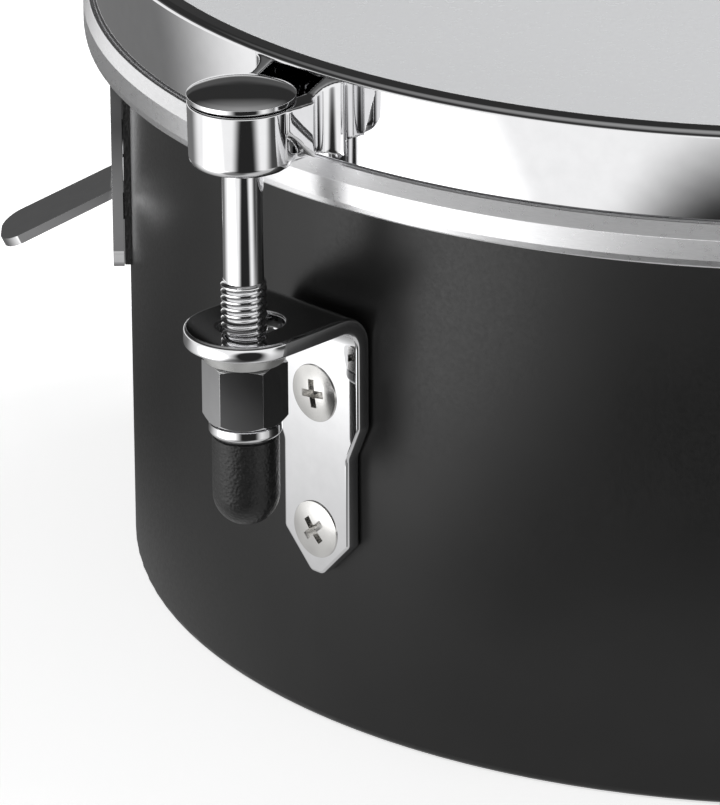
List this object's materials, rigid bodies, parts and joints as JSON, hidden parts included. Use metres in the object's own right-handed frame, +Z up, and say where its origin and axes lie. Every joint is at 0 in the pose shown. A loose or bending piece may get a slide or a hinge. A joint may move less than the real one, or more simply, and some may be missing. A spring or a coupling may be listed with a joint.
{
  "type": "tom tom drum",
  "caption": "Single-headed steel tom with a plain hoop, lug bolts on bent brackets with capped nuts, a lever damper and a rod mount.",
  "frame": {"origin": "on the drum axis at the shell's bottom edge", "axes": "+Z up the drum axis to the head, +X towards the rod mount, -X towards the damper lever; the lugs stand on the diagonals"},
  "size_m": [0.297, 0.2656, 0.127],
  "materials": {
    "shell_coat": "satin black powder coat",
    "rim_chrome": "polished",
    "hoop_aluminium": "satin",
    "head_film": "smooth haze",
    "screw_nickel": "polished nickel",
    "zinc": "zinc plated",
    "chrome": "polished",
    "cap_rubber": "fine grain",
    "spring_steel": "blued spring steel",
    "felt": "pressed wool felt"
  },
  "bodies": {
    "shell_assembly": {"shell": "shell_coat", "lug_bracket_1": "chrome", "lug_bracket_2": "chrome", "lug_bracket_3": "chrome", "lug_bracket_4": "chrome", "bracket_screws": "screw_nickel", "bracket_washers": "zinc", "bracket_nuts": "zinc", "thrust_washers": "zinc", "damper_plate": "chrome", "damper_screws": "screw_nickel", "damper_frame": "zinc", "damper_nuts": "zinc", "damper_pin": "zinc", "mount_bracket": "chrome", "mount_screws": "screw_nickel", "mount_washers": "zinc", "mount_nuts": "zinc"},
    "head_assembly": {"rim": "rim_chrome", "flesh_hoop": "hoop_aluminium", "head_film": "head_film", "head_collar": "head_film", "hoop_ear_1": "chrome", "hoop_ear_2": "chrome", "hoop_ear_3": "chrome", "hoop_ear_4": "chrome", "tension_bolt_1": "chrome", "tension_bolt_2": "chrome", "tension_bolt_3": "chrome", "tension_bolt_4": "chrome"},
    "nut_1": {"tension_nut_1": "chrome", "nut_cap_1": "cap_rubber"},
    "nut_2": {"tension_nut_2": "chrome", "nut_cap_2": "cap_rubber"},
    "nut_3": {"tension_nut_3": "chrome", "nut_cap_3": "cap_rubber"},
    "nut_4": {"tension_nut_4": "chrome", "nut_cap_4": "cap_rubber"},
    "damper": {"damper_lever": "chrome", "damper_arm": "spring_steel", "damper_rivets": "zinc", "damper_pad": "felt"},
    "clamp_shoe": {"clamp_shoe": "zinc"},
    "clamp_wing": {"clamp_wing_bolt": "chrome"}
  },
  "joints": [
    {"name": "nut_1_spin", "type": "hinge", "parent": "shell_assembly", "child": "nut_1", "pos_m": [0.10253, 0.10253, 0.0706], "axis": [0, 0, -1], "range_deg": [0, 1440]},
    {"name": "nut_2_spin", "type": "hinge", "parent": "shell_assembly", "child": "nut_2", "pos_m": [-0.10253, 0.10253, 0.0706], "axis": [0, 0, -1], "range_deg": [0, 1440]},
    {"name": "nut_3_spin", "type": "hinge", "parent": "shell_assembly", "child": "nut_3", "pos_m": [-0.10253, -0.10253, 0.0706], "axis": [0, 0, -1], "range_deg": [0, 1440]},
    {"name": "nut_4_spin", "type": "hinge", "parent": "shell_assembly", "child": "nut_4", "pos_m": [0.10253, -0.10253, 0.0706], "axis": [0, 0, -1], "range_deg": [0, 1440]},
    {"name": "hoop_lift", "type": "slide", "parent": "shell_assembly", "child": "head_assembly", "axis": [0, 0, 1], "range_m": [0, 0.005]},
    {"name": "damper_swing", "type": "hinge", "parent": "shell_assembly", "child": "damper", "pos_m": [-0.1186, 0, 0.0764], "axis": [0, 1, 0], "range_deg": [0, 30]},
    {"name": "clamp_slide", "type": "slide", "parent": "shell_assembly", "child": "clamp_shoe", "axis": [0, -1, 0], "range_m": [-0.003, 0.00025]},
    {"name": "clamp_spin", "type": "hinge", "parent": "clamp_shoe", "child": "clamp_wing", "pos_m": [0.1388, 0.02, 0.069], "axis": [0, -1, 0], "range_deg": [-1080, 90]}
  ],
  "couplings": [
    {"joint": "nut_1_spin", "follows": "hoop_lift", "rad_per_m": 5026.6},
    {"joint": "nut_2_spin", "follows": "hoop_lift", "rad_per_m": 5026.6},
    {"joint": "nut_3_spin", "follows": "hoop_lift", "rad_per_m": 5026.6},
    {"joint": "nut_4_spin", "follows": "hoop_lift", "rad_per_m": 5026.6},
    {"joint": "clamp_spin", "follows": "clamp_slide", "rad_per_m": 6283.2}
  ]
}
